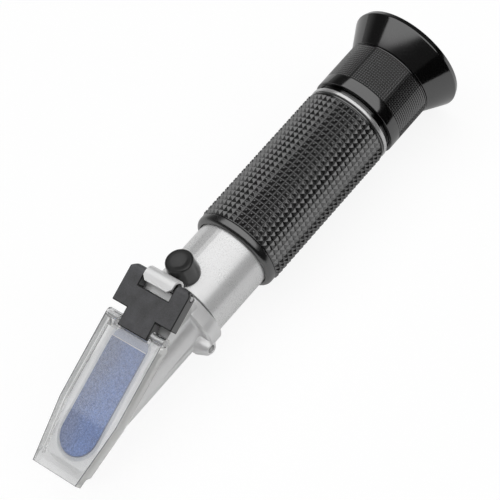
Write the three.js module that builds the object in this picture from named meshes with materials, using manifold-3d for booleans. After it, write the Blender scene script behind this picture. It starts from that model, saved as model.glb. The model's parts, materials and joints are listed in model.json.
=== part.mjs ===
// Handheld wine refractometer: a prism housing under a hinged clear plate, a main tube with a
// rubber grip, a calibration screw under a rubber cap, and a focusing eyepiece with an eyecup.
// Millimetres, +Z up. The tube's axis runs along X, with the prism end towards -X.
// Stations along the axis are measured from the front face of the housing's collar.
import * as THREE from 'three';
import { mergeVertices } from 'three/addons/utils/BufferGeometryUtils.js';
import Module from 'manifold-3d';

const wasm = await Module();
wasm.setup();

// Clearances and cutting allowances
const fit_gap = 0.3;
const seal_gap = 0.2;
const bond_gap = 0.05;
const overrun = 1;
const cut_room = 50;
const weld_distance = 0.0001;

// Facets around round pieces
const round_facets = 48;
const inner_facets = 32;
const pin_facets = 16;
const arc_facets = 8;

// Main tube
const tube_radius = 12.25;
const tube_wall = 1.5;
const tube_front_wall = 1.2;
const bare_tube_length = 22;
const joint_gap = 0.5;

// Prism housing: a round body cut by the sloping prism plane, with a collar at its rear
const collar_length = 5.2;
const shoulder_step = 1.75;
const shoulder_fillet = 0.7;
const collar_chamfer = 0.6;
const light_bore_step = 2;
const nose_wall = 1.1;
const underside_flat_depth = 0.8;
const underside_flat_setback = 8;
const saddle_inset = 1.5;
const saddle_front = 25;
const saddle_rear_setback = 1.3;

// Spigot of the tube inside the collar, held by two side screws in lugs
const housing_bore_wall = 1;
const spigot_length = 8.3;
const spigot_wall = 1.3;
const lug_radius = 2.5;
const lug_height = 2.15;
const lug_draft = 1.1;
const lug_drop = 4;
const lug_setback = 0.7;
const side_screw_radius = 0.7;
const side_screw_head_radius = 1;
const side_screw_head_height = 0.9;
const side_screw_recess = 0.4;
const side_screw_engagement = 1.1;

// The lid's hinge pin above the collar, and the housing's lip under the prism's plane at its nose
const nose_lip = 1.983;
const hinge_setback = 1.3;
const hinge_rise = 4.75;

// Hinge block, measured along the slope from the hinge pin
const block_thickness = 3.5;
const block_overhang = 0.3;
const wing_length = 11.1;
const tongue_length = 15.1;
const notch_play = 0.35;
const notch_depth = 3.9;
const block_corner = 1.5;
const lid_pin_radius = 0.75;

// Hinge leaf: sheet bent into a C round the pin, with a lower flange riveted to the housing
const leaf_sheet = 0.8;
const leaf_width = 11.4;
const leaf_top_reach = 1.8;
const leaf_foot_reach = 12;
const leaf_bend_setback = 0.4;
const leaf_corner = 1.4;
const leaf_top_gap = 0.05;
const rivet_radius = 1.1;
const rivet_depth = 2.4;
const rivet_reach = 7.5;
const rivet_spacing = 6.4;

// Daylight plate, measured along the slope from the hinge pin
const plate_thickness = 3;
const plate_width = 22.8;
const plate_front_width = 17.6;
const plate_rear = 17.3;
const plate_taper_start = 43.2;
const plate_front = 63.5;
const ear_width = 5;
const ear_play = 0.7;
const skirt_depth = 4.5;
const skirt_thickness = 1;
const skirt_rear = 16;
const skirt_front = 59.5;
const skirt_bevel = 1;
const plate_pin_margin = 0.3;

// Frosted diffuser under the plate, the prism's window and the seal round it
const diffuser_thickness = 0.25;
const diffuser_rear = 20.1;
const diffuser_inset = 0.2;
const sample_gap = 0.3;
const window_rear = 16.7;
const window_length = 40.2;
const window_width = 13.6;
const window_corner = 3.5;
const seal_width = 0.5;
const seal_depth = 1;
const prism_slab = 1.5;
const prism_floor_wall = 3.2;
const prism_overhang = 1.1;

// Calibration: bush in the tube's wall, screw, rubber cap, and the lens cell that it shifts
const cap_setback = 3.8;
const cap_base_radius = 5.1;
const cap_top_radius = 4.35;
const cap_height = 6.45;
const cap_edge = 0.7;
const cap_roof = 2;
const bush_radius = 3.2;
const bush_height = 4.15;
const screw_radius = 1.5;
const screw_sink = 0.5;
const screw_slot_width = 0.6;
const screw_slot_depth = 0.8;
const cell_play = 0.75;
const cell_length = 6.4;
const cell_wall = 1.4;
const cell_lip = 1;
const objective_thickness = 3;
const objective_edge = 1.6;
const lock_ring_length = 1.5;
const lock_ring_width = 1.1;
const cell_spring_sheet = 0.4;
const cell_spring_length = 4;
const cell_spring_half_angle = THREE.MathUtils.degToRad(40);
const bimetal_width = 5;
const bimetal_thickness = 0.6;
const bimetal_length = 23.8;
const baffle_length = 2;
const baffle_width = 3.45;

// Reticle: holder, scale disc and lock ring in the tube
const reticle_station = 66;
const holder_length = 6;
const holder_wall = 0.55;
const holder_lip = 1;
const reticle_thickness = 1.5;
const reticle_lip_width = 1.2;

// Rubber grip and the bright trim ring behind it
const grip_length = 56.4;
const grip_wall = 2.08;
const grip_flange_length = 3.1;
const grip_flange_wall = 1.7;
const grip_band_length = 0.9;
const knurl_pitch = 2;
const knurl_depth = 0.72;
const knurl_margin = 0.2;
const grip_band_step = 0.3;
const trim_length = 1.3;
const trim_wall = 1.88;

// Focusing eyepiece
const focus_gap = 2;
const focus_length = 17.9;
const focus_wall = 1.2;
const focus_edge = 0.3;
const focus_web_setback = 12.8;
const focus_web = 3;
const thread_sleeve_wall = 0.65;
const thread_engagement = 8.8;
const barrel_front_inset = 18.5;
const barrel_wall = 1.85;
const barrel_neck_wall = 1;
const barrel_neck_reach = 0.7;
const barrel_lip = 1.2;
const barrel_lip_width = 1.2;
const field_lens_thickness = 3.5;
const field_lens_edge = 1.8;
const eye_lens_thickness = 3.2;
const eye_lens_edge = 1.6;
const o_ring_radius = 0.4;
const o_ring_inset = 3;
const key_radius = 0.8;
const key_inset = 14;
const key_reach = 1.1;
const key_sink = 0.25;
const travel_in = 1.7;
const travel_out = 2.3;

// Eyecup
const cup_seam = 0.3;
const cup_length = 10.3;
const cup_flare = 4.7;
const cup_wall = 1.5;
const cup_rim_round = 1.3;
const cup_rim_face = 0.9;
const cup_throat_gap = 0.6;
const cup_throat_length = 1.6;
const cup_spigot_wall = 1.5;
const cup_spigot_length = 1.8;

// Stations along the tube's axis
const tube_front_x = collar_length + joint_gap;
const grip_front_x = tube_front_x + bare_tube_length;
const grip_rear_x = grip_front_x + grip_length;
const trim_front_x = grip_rear_x + fit_gap;
const trim_rear_x = trim_front_x + trim_length;
const focus_front_x = trim_rear_x + focus_gap;
const focus_rear_x = focus_front_x + focus_length;
const web_front_x = focus_front_x + focus_web_setback;
const tube_rear_x = focus_front_x + thread_engagement;
const cup_front_x = focus_rear_x + cup_seam;
const cup_rear_x = cup_front_x + cup_length;
const cap_x = tube_front_x + cap_setback;

// Radii that follow from the tube
const bore_radius = tube_radius - tube_wall;
const seated_radius = bore_radius - fit_gap;
const housing_radius = tube_radius - shoulder_step;
const collar_bore_radius = housing_radius - housing_bore_wall;
const spigot_radius = collar_bore_radius - fit_gap;
const sleeved_radius = tube_radius + fit_gap;
const light_bore_radius = collar_bore_radius - light_bore_step;
const saddle_width = 2 * (housing_radius - saddle_inset);
const lug_reach = tube_radius + lug_height;
const prism_floor_drop = housing_radius - underside_flat_depth - prism_floor_wall;
const cell_radius = seated_radius - cell_play;
const baffle_hole_radius = seated_radius - baffle_width;
const grip_radius = sleeved_radius + grip_wall;
const grip_flange_radius = sleeved_radius + grip_flange_wall;
const trim_radius = sleeved_radius + trim_wall;
const thread_radius = sleeved_radius + thread_sleeve_wall;
const focus_radius = thread_radius + fit_gap + focus_wall;
const cup_rim_radius = focus_radius + cup_flare;

// Widths that follow from the plate and the leaf
const block_width = plate_width + 2 * block_overhang;
const tongue_width = plate_width - 2 * (ear_width + ear_play);
const notch_width = leaf_width + 2 * notch_play;

// Hinge pin's place, and heights above it in the sloping frame of the lid
const hinge_x = hinge_setback;
const hinge_z = tube_radius + hinge_rise;
const block_top = block_thickness / 2;
const plate_bottom = block_top - plate_thickness;
const diffuser_bottom = plate_bottom - bond_gap - diffuser_thickness;
const prism_top = diffuser_bottom - sample_gap;
const leaf_foot_top = -block_top - fit_gap;
const leaf_foot_bottom = leaf_foot_top - leaf_sheet;
const saddle_floor = leaf_foot_bottom - fit_gap;
const housing_front = window_rear + window_length + 2 * seal_gap + seal_width + nose_wall;

// The slope takes the prism's plane from under the hinge pin down to the lip at the nose
const underside_z = underside_flat_depth - housing_radius;
const slope_drop = hinge_z - underside_z - nose_lip;
const prism_slope = Math.asin(slope_drop / Math.hypot(housing_front, prism_top)) +
  Math.atan2(prism_top, housing_front);

const solidOf = (geometry) => {
  geometry.deleteAttribute('normal');
  geometry.deleteAttribute('uv');
  const welded = mergeVertices(geometry, weld_distance);
  const corners = welded.index.array;
  const triangles = [];
  for (let i = 0; i < corners.length; i += 3) {
    const [a, b, c] = corners.slice(i, i + 3);
    if (a !== b && b !== c && c !== a) triangles.push(a, b, c);
  }
  const vertProperties = new Float32Array(welded.attributes.position.array);
  const triVerts = new Uint32Array(triangles);
  return new wasm.Manifold(new wasm.Mesh({ numProp: 3, vertProperties, triVerts }));
};

const join = (first, ...others) => others.reduce((sum, other) => sum.add(other), first);
const cut = (first, ...others) => others.reduce((rest, other) => rest.subtract(other), first);

const geometryOf = (solid) => {
  const { vertProperties, triVerts } = solid.getMesh();
  const geometry = new THREE.BufferGeometry();
  geometry.setAttribute('position', new THREE.BufferAttribute(vertProperties, 3));
  geometry.setIndex(new THREE.BufferAttribute(triVerts, 1));
  geometry.computeVertexNormals();
  return geometry;
};

const finish = (color, roughness, metalness = 0) => {
  return new THREE.MeshStandardMaterial({ color, roughness, metalness, flatShading: true });
};

const makePiece = (name, solid, material) => {
  const mesh = new THREE.Mesh(geometryOf(solid), material);
  mesh.name = name;
  return mesh;
};

// A round piece from a profile of [station, radius] points about the X, Y or Z axis.
// The profile runs forwards along its outer side and back along its bore or on the axis.
const turnedGeometry = (profile, facets = round_facets, axis = 'x') => {
  const points = profile.map(([station, radius]) => new THREE.Vector2(radius, station));
  if (points[0].x > 0) points.push(points[0].clone());
  const geometry = new THREE.LatheGeometry(points, facets);
  if (axis === 'x') geometry.rotateZ(-Math.PI / 2);
  if (axis === 'z') geometry.rotateX(Math.PI / 2);
  return geometry;
};
const turned = (...args) => solidOf(turnedGeometry(...args));

const rodProfile = (start, end, radius) => [[start, 0], [start, radius], [end, radius], [end, 0]];
const ringProfile = (start, end, inner, outer) => {
  return [[start, inner], [start, outer], [end, outer], [end, inner]];
};

const outline = (points) => new THREE.Shape(points.map(([a, b]) => new THREE.Vector2(a, b)));

// A side view in X and Z, extruded across to a width that is centred on the middle plane
const acrossGeometry = (shape, width) => {
  const settings = { depth: width, bevelEnabled: false, curveSegments: arc_facets };
  const geometry = new THREE.ExtrudeGeometry(shape, settings);
  geometry.rotateX(Math.PI / 2);
  geometry.translate(0, width / 2, 0);
  return geometry;
};

// A plan view in X and Y, extruded upwards between two heights
const uprightGeometry = (shape, bottom, top) => {
  const settings = { depth: top - bottom, bevelEnabled: false, curveSegments: arc_facets };
  const geometry = new THREE.ExtrudeGeometry(shape, settings);
  geometry.translate(0, 0, bottom);
  return geometry;
};

const boxGeometry = (x0, x1, y0, y1, z0, z1) => {
  const geometry = new THREE.BoxGeometry(x1 - x0, y1 - y0, z1 - z0);
  geometry.translate((x0 + x1) / 2, (y0 + y1) / 2, (z0 + z1) / 2);
  return geometry;
};
const box = (...limits) => solidOf(boxGeometry(...limits));
const across = (shape, width) => solidOf(acrossGeometry(shape, width));
const upright = (shape, bottom, top) => solidOf(uprightGeometry(shape, bottom, top));

// The sloping frame of the lid has its origin on the hinge pin and its X along the slope,
// so that forwards and down the slope is -X. This places such a shape in the housing's frame.
const onSlope = (geometry) => {
  geometry.rotateY(-prism_slope);
  geometry.translate(hinge_x, 0, hinge_z);
  return solidOf(geometry);
};
const slopePoint = (along, height) => [
  hinge_x - along * Math.cos(prism_slope) - height * Math.sin(prism_slope),
  hinge_z - along * Math.sin(prism_slope) + height * Math.cos(prism_slope),
];

// The prism's window: a round front end and two rounded rear corners
const windowShape = (grow) => {
  const half = window_width / 2 + grow;
  const corner = window_corner + grow;
  const rear = -window_rear + grow;
  const round_x = window_width / 2 - window_rear - window_length;
  const shape = new THREE.Shape();
  shape.moveTo(round_x, -half);
  shape.lineTo(rear - corner, -half);
  shape.absarc(rear - corner, corner - half, corner, -Math.PI / 2, 0);
  shape.absarc(rear - corner, half - corner, corner, 0, Math.PI / 2);
  shape.lineTo(round_x, half);
  shape.absarc(round_x, 0, half, Math.PI / 2, Math.PI * 1.5);
  return shape;
};

// The plate's plan behind its taper and forwards to its front edge
const plateShape = (inset, rear) => {
  const half = plate_width / 2 - inset;
  const front_half = plate_front_width / 2 - inset;
  return outline([
    [-rear, -half], [-rear, half], [-plate_taper_start, half],
    [-plate_front, front_half], [-plate_front, -front_half], [-plate_taper_start, -half],
  ]);
};

const prism_rear_x = slopePoint(window_rear + prism_overhang, prism_top)[0];
const nose_x = slopePoint(housing_front, prism_top)[0];

// A slab of the window's outline, over a wedge with an upright rear face and a level floor
const prismSolid = (grow, rise) => {
  const top = prism_top + rise;
  const slab_bottom = prism_top - prism_slab - grow;
  const slab = onSlope(uprightGeometry(windowShape(grow), slab_bottom, top));
  const column = onSlope(uprightGeometry(windowShape(grow), -cut_room, top));
  const wedge_room = box(
    nose_x - overrun, prism_rear_x + grow, -tube_radius, tube_radius,
    -prism_floor_drop - grow, hinge_z,
  );
  return slab.add(column.intersect(wedge_room));
};

const makeHousing = () => {
  const body = turned([
    [nose_x, 0], [nose_x, housing_radius], [-shoulder_fillet, housing_radius],
    [0, housing_radius + shoulder_fillet], [0, tube_radius - collar_chamfer],
    [collar_chamfer, tube_radius], [collar_length, tube_radius], [collar_length, 0],
  ]);
  const underside_flat = box(
    nose_x - overrun, -underside_flat_setback, -cut_room, cut_room,
    -cut_room, underside_z,
  );
  const saddle_rear_x = collar_length - saddle_rear_setback;
  const saddle_rear_along = (hinge_x - saddle_rear_x - saddle_floor * Math.sin(prism_slope)) /
    Math.cos(prism_slope);
  const saddle_front_point = slopePoint(saddle_front, prism_top);
  const saddle = across(outline([
    slopePoint(saddle_rear_along, saddle_floor), slopePoint(window_rear - fit_gap, saddle_floor),
    slopePoint(window_rear - fit_gap, prism_top), saddle_front_point,
    [saddle_front_point[0], 0], [saddle_rear_x, 0],
  ]), saddle_width);
  const lugs = turned([
    [-lug_reach, 0], [-lug_reach, lug_radius - shoulder_fillet],
    [shoulder_fillet - lug_reach, lug_radius], [-housing_radius, lug_radius + lug_draft],
    [housing_radius, lug_radius + lug_draft], [lug_reach - shoulder_fillet, lug_radius],
    [lug_reach, lug_radius - shoulder_fillet], [lug_reach, 0],
  ], inner_facets, 'y').translate([-lug_setback, 0, -lug_drop]);
  const above_slope = onSlope(acrossGeometry(outline([
    [tube_radius, saddle_floor], [fit_gap - window_rear, saddle_floor],
    [fit_gap - window_rear, prism_top], [-housing_front - overrun, prism_top],
    [-housing_front - overrun, cut_room], [tube_radius, cut_room],
  ]), 2 * cut_room));
  const beside_skirts = onSlope(uprightGeometry(outline([
    [fit_gap + overrun - skirt_rear, -cut_room], [fit_gap + overrun - skirt_rear, cut_room],
    [-plate_front, cut_room], [-plate_front, -cut_room],
  ]), block_top - skirt_depth - fit_gap, prism_top + overrun));
  const between_skirts = onSlope(uprightGeometry(
    plateShape(skirt_thickness + fit_gap, skirt_rear - fit_gap - 2 * overrun),
    block_top - skirt_depth - fit_gap - overrun, prism_top + 2 * overrun,
  ));
  const light_bore = turned(
    rodProfile(prism_rear_x - overrun, collar_length, light_bore_radius),
  );
  const collar_bore = turned(rodProfile(
    collar_length + joint_gap - spigot_length - fit_gap, collar_length + overrun,
    collar_bore_radius,
  ));
  const screw_bore = turned(rodProfile(
    -lug_reach - overrun, lug_reach + overrun, side_screw_radius + fit_gap,
  ), pin_facets, 'y').translate([-lug_setback, 0, -lug_drop]);
  const head_depth = side_screw_recess + side_screw_head_height + fit_gap;
  const head_recesses = [-1, 1].map((side) => turned(rodProfile(
    side * lug_reach - head_depth, side * lug_reach + head_depth, side_screw_head_radius + fit_gap,
  ), pin_facets, 'y').translate([-lug_setback, 0, -lug_drop]));
  const seal_recess = onSlope(uprightGeometry(
    windowShape(2 * seal_gap + seal_width), prism_top - seal_depth - seal_gap, prism_top + overrun,
  ));
  const rivet_holes = [-1, 1].map((side) => {
    const hole = turnedGeometry(rodProfile(
      saddle_floor - rivet_depth - fit_gap, saddle_floor + overrun, rivet_radius + fit_gap,
    ), pin_facets, 'z');
    return onSlope(hole.translate(-rivet_reach, side * rivet_spacing / 2, 0));
  });
  const solid = cut(
    join(cut(body, above_slope, underside_flat), saddle, lugs),
    beside_skirts.subtract(between_skirts), light_bore, collar_bore, screw_bore,
    ...head_recesses, seal_recess, prismSolid(fit_gap, overrun), ...rivet_holes,
  );
  return makePiece('prism_housing', solid, finish(0xc9cac9, 0.34, 0.85));
};

const makePrism = () => makePiece('prism', prismSolid(0, 0), finish(0x5d6fa8, 0.15));

const makePrismSeal = () => {
  const bottom = prism_top - seal_depth;
  const rim = onSlope(uprightGeometry(windowShape(seal_gap + seal_width), bottom, prism_top));
  const hole = onSlope(uprightGeometry(
    windowShape(seal_gap), bottom - overrun, prism_top + overrun,
  ));
  return makePiece('prism_seal', rim.subtract(hole), finish(0xd8dade, 0.55));
};

const makeSideScrew = (name, side) => {
  const head_top = lug_reach - side_screw_recess;
  const neck = head_top - side_screw_head_height;
  const tip = spigot_radius - side_screw_engagement;
  const shape = turned([
    [tip, 0], [tip, side_screw_radius], [neck, side_screw_radius],
    [neck, side_screw_head_radius], [head_top, side_screw_head_radius], [head_top, 0],
  ], pin_facets, 'y');
  const slot = box(
    -side_screw_head_radius - overrun, side_screw_head_radius + overrun,
    head_top - side_screw_head_height / 2, head_top + overrun,
    -side_screw_head_height / 4, side_screw_head_height / 4,
  );
  const screw = makePiece(name, shape.subtract(slot), finish(0x8f9190, 0.35, 0.9));
  screw.rotation.z = side > 0 ? 0 : Math.PI;
  screw.position.set(-lug_setback, 0, -lug_drop);
  return screw;
};

const makeMainTube = () => {
  const spigot_front_x = tube_front_x - spigot_length;
  const spigot_bore_radius = spigot_radius - spigot_wall;
  const bore_front_x = tube_front_x + tube_front_wall;
  const shell = turned([
    [spigot_front_x, spigot_bore_radius], [spigot_front_x, spigot_radius],
    [tube_front_x, spigot_radius], [tube_front_x, tube_radius],
    [tube_rear_x, tube_radius], [tube_rear_x, bore_radius],
    [bore_front_x, bore_radius], [bore_front_x, spigot_bore_radius],
  ]);
  const bush_hole = turned(
    rodProfile(0, tube_radius + overrun, bush_radius + fit_gap), inner_facets, 'z',
  ).translate([cap_x, 0, 0]);
  const key_hole = turned(
    rodProfile(0, tube_radius + overrun, key_radius + fit_gap), pin_facets, 'z',
  ).translate([tube_rear_x - key_inset, 0, 0]);
  const screw_holes = turned(rodProfile(
    -spigot_radius - overrun, spigot_radius + overrun, side_screw_radius + fit_gap,
  ), pin_facets, 'y').translate([-lug_setback, 0, -lug_drop]);
  const solid = cut(shell, bush_hole, key_hole, screw_holes);
  return makePiece('main_tube', solid, finish(0xd2d3d3, 0.3, 0.9));
};

// A rod along X, with rows of pointed square pyramids between two plain ends
const knurledRod = (start, knurl_start, knurl_end, end, root_radius, tip_radius) => {
  const columns = Math.round(2 * Math.PI * tip_radius / knurl_pitch);
  const rows = Math.round((knurl_end - knurl_start) / knurl_pitch);
  const row_length = (knurl_end - knurl_start) / rows;
  const point = (station, column, radius) => {
    const angle = 2 * Math.PI * (column % columns) / columns;
    return [station, radius * Math.sin(angle), radius * Math.cos(angle)];
  };
  const cell = (front, rear, column) => [
    point(front, column, root_radius), point(rear, column, root_radius),
    point(rear, column + 1, root_radius), point(front, column + 1, root_radius),
  ];
  const triangles = [];
  for (let column = 0; column < columns; column += 1) {
    for (let row = 0; row < rows; row += 1) {
      const front = knurl_start + row * row_length;
      const corners = cell(front, front + row_length, column);
      const tip = point(front + row_length / 2, column + 0.5, tip_radius);
      corners.forEach((corner, i) => triangles.push(corner, corners[(i + 1) % 4], tip));
    }
    for (const [front, rear] of [[start, knurl_start], [knurl_end, end]]) {
      const [a, b, c, d] = cell(front, rear, column);
      triangles.push(a, b, c, a, c, d);
    }
    const [front, rear, next_rear, next_front] = cell(start, end, column);
    triangles.push(front, next_front, [start, 0, 0], next_rear, rear, [end, 0, 0]);
  }
  const geometry = new THREE.BufferGeometry();
  geometry.setAttribute('position', new THREE.Float32BufferAttribute(triangles.flat(), 3));
  return solidOf(geometry);
};

// The grip's smooth front flange and rear band close over the plain ends of its knurled core
const makeGrip = () => {
  const flange_rear_x = grip_front_x + grip_flange_length;
  const band_front_x = grip_rear_x - grip_band_length;
  const root_radius = grip_radius - knurl_depth;
  const core = knurledRod(
    grip_front_x + grip_flange_length / 2, flange_rear_x + knurl_margin,
    band_front_x - knurl_margin, grip_rear_x - grip_band_length / 2, root_radius, grip_radius,
  );
  const flange = turned(rodProfile(grip_front_x, flange_rear_x, grip_flange_radius));
  const band = turned(rodProfile(band_front_x, grip_rear_x, root_radius + grip_band_step));
  const bore = turned(rodProfile(grip_front_x - overrun, grip_rear_x + overrun, sleeved_radius));
  const solid = cut(join(core, flange, band), bore);
  return makePiece('rubber_grip', solid, finish(0x2e2e2f, 0.75));
};

const makeTrimRing = () => {
  const solid = turned(ringProfile(trim_front_x, trim_rear_x, sleeved_radius, trim_radius));
  return makePiece('trim_ring', solid, finish(0xe4e4e4, 0.18, 1));
};

const makeCalibrationBush = () => {
  const solid = turned(ringProfile(
    tube_radius - tube_wall + fit_gap / 2, tube_radius + bush_height,
    screw_radius + fit_gap, bush_radius,
  ), inner_facets, 'z');
  const bush = makePiece('calibration_bush', solid, finish(0xb59a5b, 0.35, 1));
  bush.position.x = cap_x;
  return bush;
};

const makeCalibrationScrew = () => {
  const tip = cell_radius + fit_gap;
  const top = tube_radius + bush_height - screw_sink;
  const rod = turned(rodProfile(tip, top, screw_radius), pin_facets, 'z');
  const slot = box(
    -screw_radius - overrun, screw_radius + overrun,
    -screw_slot_width / 2, screw_slot_width / 2, top - screw_slot_depth, top + overrun,
  );
  const screw = makePiece('calibration_screw', rod.subtract(slot), finish(0x9a9c9d, 0.3, 1));
  screw.position.x = cap_x;
  return screw;
};

const makeCalibrationCap = () => {
  const top = tube_radius + cap_height;
  const shell = turned([
    [0, 0], [0, cap_base_radius], [tube_radius, cap_base_radius],
    [top - cap_edge, cap_top_radius], [top, cap_top_radius - cap_edge], [top, 0],
  ], inner_facets, 'z');
  const hollow = turned(rodProfile(-overrun, top - cap_roof, bush_radius + fit_gap), inner_facets, 'z');
  const tube_clearance = turned(rodProfile(
    -2 * cap_base_radius, 2 * cap_base_radius, tube_radius + fit_gap,
  ));
  const solid = cut(shell, hollow, tube_clearance);
  const cap = makePiece('calibration_cap', solid, finish(0x232324, 0.6));
  cap.position.x = cap_x;
  return cap;
};

// A lens of one thickness on its axis and another at its edge, with both faces bulging
const lensProfile = (centre_x, radius, thickness, edge) => {
  const bulge = (thickness - edge) / 2;
  const rings = [];
  for (let i = 0; i <= arc_facets / 2; i += 1) {
    const share = i / (arc_facets / 2);
    rings.push([edge / 2 + bulge * (1 - share * share), radius * share]);
  }
  const front = rings.map(([offset, ring_radius]) => [centre_x - offset, ring_radius]);
  const rear = rings.map(([offset, ring_radius]) => [centre_x + offset, ring_radius]);
  return [...front, ...rear.reverse()];
};
const makeLens = (name, ...dimensions) => {
  return makePiece(name, turned(lensProfile(...dimensions), inner_facets), finish(0xb9cfd8, 0.05));
};

const cell_front_x = tube_front_x + tube_front_wall + fit_gap;
const cell_rear_x = cell_front_x + cell_length;
const cell_bore_radius = cell_radius - cell_wall;
const makeLensCell = () => {
  const lip_radius = cell_bore_radius - cell_lip;
  const lip_x = cell_front_x + cell_lip;
  const solid = turned([
    [cell_front_x, lip_radius], [cell_front_x, cell_radius], [cell_rear_x, cell_radius],
    [cell_rear_x, cell_bore_radius], [lip_x, cell_bore_radius], [lip_x, lip_radius],
  ], inner_facets);
  return makePiece('lens_cell', solid, finish(0x303234, 0.5, 0.6));
};

const objective_front_x = cell_front_x + cell_lip + fit_gap;
const makeObjectiveLens = () => makeLens(
  'objective_lens', objective_front_x + objective_thickness / 2,
  cell_bore_radius - fit_gap, objective_thickness, objective_edge,
);

const makeLockRing = (name, start, outer_radius) => {
  const solid = turned(ringProfile(
    start, start + lock_ring_length, outer_radius - lock_ring_width, outer_radius,
  ), inner_facets);
  return makePiece(name, solid, finish(0x2a2b2c, 0.5, 0.6));
};

const makeCellSpring = () => {
  const outer = bore_radius - fit_gap;
  const inner = outer - cell_spring_sheet;
  const from = -Math.PI / 2 - cell_spring_half_angle;
  const to = -Math.PI / 2 + cell_spring_half_angle;
  const shape = new THREE.Shape();
  shape.absarc(0, 0, outer, from, to);
  shape.absarc(0, 0, inner, to, from, true);
  const geometry = uprightGeometry(shape, 0, cell_spring_length);
  geometry.rotateX(Math.PI / 2);
  geometry.rotateZ(Math.PI / 2);
  const spring = makePiece('cell_spring', solidOf(geometry), finish(0xa7a9ab, 0.3, 1));
  spring.position.x = cap_x - cell_spring_length / 2;
  return spring;
};

const makeBimetalStrip = () => {
  const half = bimetal_width / 2;
  const top = Math.sqrt((seated_radius - seal_gap) ** 2 - half ** 2);
  const start = cell_rear_x + fit_gap;
  const solid = box(start, start + bimetal_length, -half, half, top - bimetal_thickness, top);
  return makePiece('bimetal_strip', solid, finish(0xb08d57, 0.4, 1));
};

const makeBaffle = () => {
  const start = cell_rear_x + bimetal_length + 2 * fit_gap;
  const solid = turned(ringProfile(
    start, start + baffle_length, baffle_hole_radius, seated_radius,
  ), inner_facets);
  return makePiece('light_baffle', solid, finish(0x1c1c1d, 0.9));
};

const disc_radius = seated_radius - holder_wall - fit_gap;
const disc_front_x = reticle_station + holder_lip + fit_gap;
const makeReticleHolder = () => {
  const pocket_radius = seated_radius - holder_wall;
  const lip_radius = disc_radius - reticle_lip_width;
  const lip_x = reticle_station + holder_lip;
  const rear_x = reticle_station + holder_length;
  const solid = turned([
    [reticle_station, lip_radius], [reticle_station, seated_radius], [rear_x, seated_radius],
    [rear_x, pocket_radius], [lip_x, pocket_radius], [lip_x, lip_radius],
  ], inner_facets);
  return makePiece('reticle_holder', solid, finish(0x2a2b2c, 0.5, 0.6));
};
const makeReticleDisc = () => {
  const solid = turned(
    rodProfile(disc_front_x, disc_front_x + reticle_thickness, disc_radius), inner_facets,
  );
  return makePiece('reticle_disc', solid, finish(0xcfe0ee, 0.08));
};

const makeThreadSleeve = () => {
  const solid = turned(ringProfile(
    trim_rear_x + fit_gap, tube_rear_x, sleeved_radius, thread_radius,
  ));
  return makePiece('focus_thread_sleeve', solid, finish(0x141414, 0.45));
};

// The lens barrel slides in the tube without turning: a key screw runs in its slot
const barrel_front_x = tube_rear_x - barrel_front_inset;
const barrel_shoulder_x = web_front_x - fit_gap;
const barrel_rear_x = web_front_x + focus_web + barrel_neck_reach;
const barrel_bore_radius = seated_radius - barrel_wall;
const barrel_lens_radius = barrel_bore_radius - fit_gap;
const barrel_neck_radius = barrel_bore_radius + barrel_neck_wall;
const cup_throat_radius = barrel_neck_radius + cup_throat_gap;
const key_x = tube_rear_x - key_inset;
const makeFocusBarrel = () => {
  const lip_radius = barrel_bore_radius - barrel_lip_width;
  const lip_x = barrel_front_x + barrel_lip;
  const groove_x = tube_rear_x - o_ring_inset;
  const groove_half = o_ring_radius + seal_gap;
  const groove_radius = seated_radius - 2 * o_ring_radius;
  const shell = turned([
    [barrel_front_x, lip_radius], [barrel_front_x, seated_radius],
    [groove_x - groove_half, seated_radius], [groove_x - groove_half, groove_radius],
    [groove_x + groove_half, groove_radius], [groove_x + groove_half, seated_radius],
    [barrel_shoulder_x, seated_radius], [barrel_shoulder_x, barrel_neck_radius],
    [barrel_rear_x, barrel_neck_radius], [barrel_rear_x, barrel_bore_radius],
    [lip_x, barrel_bore_radius], [lip_x, lip_radius],
  ], inner_facets);
  const slot_half = key_radius + fit_gap;
  const slot = box(
    key_x - travel_out - slot_half, key_x + travel_in + slot_half,
    -slot_half, slot_half, 0, tube_radius,
  );
  return makePiece('focus_barrel', shell.subtract(slot), finish(0x3a3c3e, 0.4, 0.8));
};

const makeKeyScrew = () => {
  const bottom = seated_radius - key_reach;
  const solid = turned(
    rodProfile(bottom, tube_radius - key_sink, key_radius), pin_facets, 'z',
  );
  const screw = makePiece('barrel_key_screw', solid, finish(0x9a9c9d, 0.3, 1));
  screw.position.x = key_x;
  return screw;
};

const makeOilRing = () => {
  const centre_x = tube_rear_x - o_ring_inset;
  const centre_radius = seated_radius + seal_gap / 2 - o_ring_radius;
  const profile = [];
  for (let i = 0; i < arc_facets; i += 1) {
    const angle = -2 * Math.PI * i / arc_facets;
    profile.push([
      centre_x + o_ring_radius * Math.cos(angle), centre_radius - o_ring_radius * Math.sin(angle),
    ]);
  }
  return makePiece('barrel_o_ring', turned(profile.reverse(), inner_facets), finish(0x101010, 0.7));
};

const field_lens_x = barrel_front_x + barrel_lip + fit_gap + field_lens_thickness / 2;
const eye_ring_x = barrel_rear_x - lock_ring_length;
const eye_lens_x = eye_ring_x - fit_gap - eye_lens_thickness / 2;
const makeLensSpacer = () => {
  const solid = turned(ringProfile(
    field_lens_x + field_lens_edge / 2 + fit_gap, eye_lens_x - eye_lens_edge / 2 - fit_gap,
    barrel_lens_radius - lock_ring_width, barrel_lens_radius,
  ), inner_facets);
  return makePiece('lens_spacer', solid, finish(0x202122, 0.7));
};

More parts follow.
